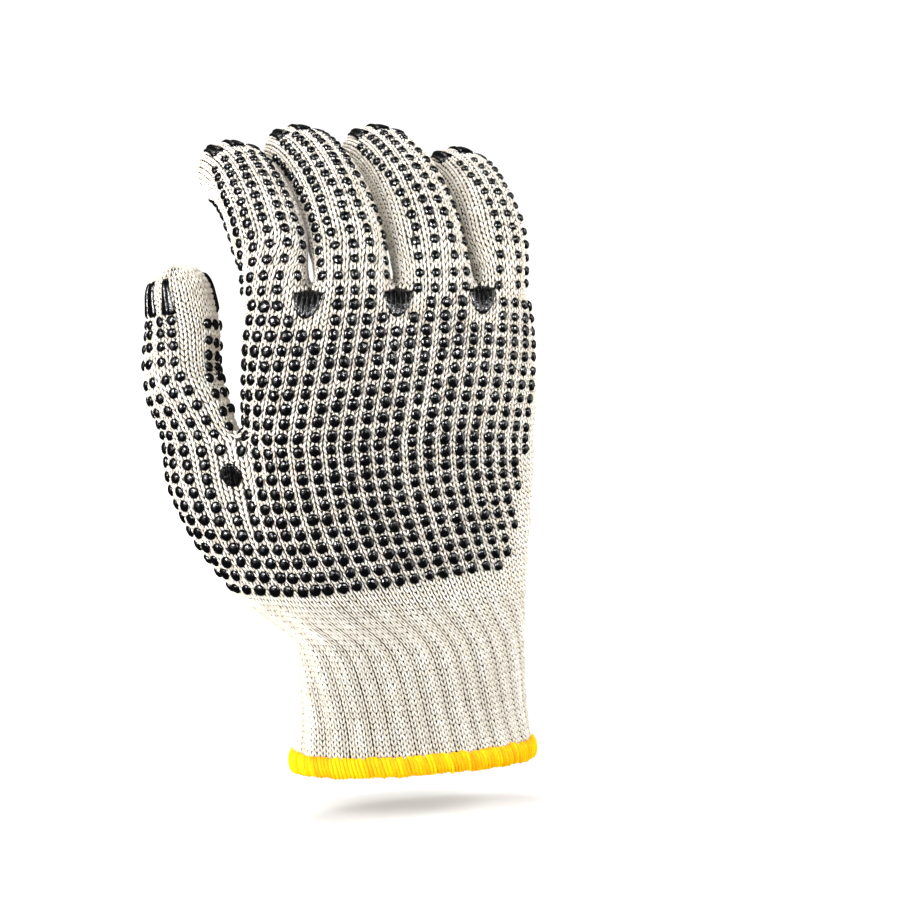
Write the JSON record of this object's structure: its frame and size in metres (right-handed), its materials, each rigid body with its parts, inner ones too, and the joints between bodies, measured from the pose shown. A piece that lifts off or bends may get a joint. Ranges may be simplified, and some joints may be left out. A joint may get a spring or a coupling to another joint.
{
  "type": "dotted knit work glove",
  "caption": "Right-hand string-knit cotton work glove in its worn shape, with raised black grip dots on the back and the palm, ribbed cuff and yellow bound hem.",
  "frame": {"origin": "middle of the wrist opening, level with the lower edge of the hem", "axes": "+Z from the wrist to the fingers, the back of the hand faces -Y, the palm faces +Y and the fingers curl that way, the thumb is at -X"},
  "size_m": [0.1266, 0.0853, 0.211],
  "materials": {
    "cotton_knit": "unbleached cotton string knit, matt, dark gaps between the stitches",
    "cuff_knit": "unbleached cotton rib, matt, slightly paler than the hand",
    "hem_yarn": "yellow overlocked polyester yarn with a soft sheen",
    "grip_print": "black soft vinyl print, glossy, slightly uneven"
  },
  "bodies": {
    "root": {"hem": "hem_yarn", "cuff": "cuff_knit", "lower_hand": "cotton_knit", "upper_hand": "cotton_knit", "thumb": "cotton_knit", "index_finger": "cotton_knit", "middle_finger": "cotton_knit", "ring_finger": "cotton_knit", "little_finger": "cotton_knit", "index_fork_patch_back": "grip_print", "index_fork_patch_palm": "grip_print", "middle_fork_patch_back": "grip_print", "middle_fork_patch_palm": "grip_print", "ring_fork_patch_back": "grip_print", "ring_fork_patch_palm": "grip_print", "thumb_fork_patch_back": "grip_print", "thumb_fork_patch_palm": "grip_print", "index_tip_bar_back_1": "grip_print", "index_tip_bar_back_2": "grip_print", "index_tip_bar_back_3": "grip_print", "index_tip_bar_palm_1": "grip_print", "index_tip_bar_palm_2": "grip_print", "index_tip_bar_palm_3": "grip_print", "middle_tip_bar_back_1": "grip_print", "middle_tip_bar_back_2": "grip_print", "middle_tip_bar_back_3": "grip_print", "middle_tip_bar_palm_1": "grip_print", "middle_tip_bar_palm_2": "grip_print", "middle_tip_bar_palm_3": "grip_print", "ring_tip_bar_back_1": "grip_print", "ring_tip_bar_back_2": "grip_print", "ring_tip_bar_back_3": "grip_print", "ring_tip_bar_palm_1": "grip_print", "ring_tip_bar_palm_2": "grip_print", "ring_tip_bar_palm_3": "grip_print", "little_tip_bar_back_1": "grip_print", "little_tip_bar_back_2": "grip_print", "little_tip_bar_back_3": "grip_print", "little_tip_bar_palm_1": "grip_print", "little_tip_bar_palm_2": "grip_print", "little_tip_bar_palm_3": "grip_print", "thumb_tip_bar_back_1": "grip_print", "thumb_tip_bar_back_2": "grip_print", "thumb_tip_bar_back_3": "grip_print", "thumb_tip_bar_palm_1": "grip_print", "thumb_tip_bar_palm_2": "grip_print", "thumb_tip_bar_palm_3": "grip_print"}
  },
  "joints": []
}
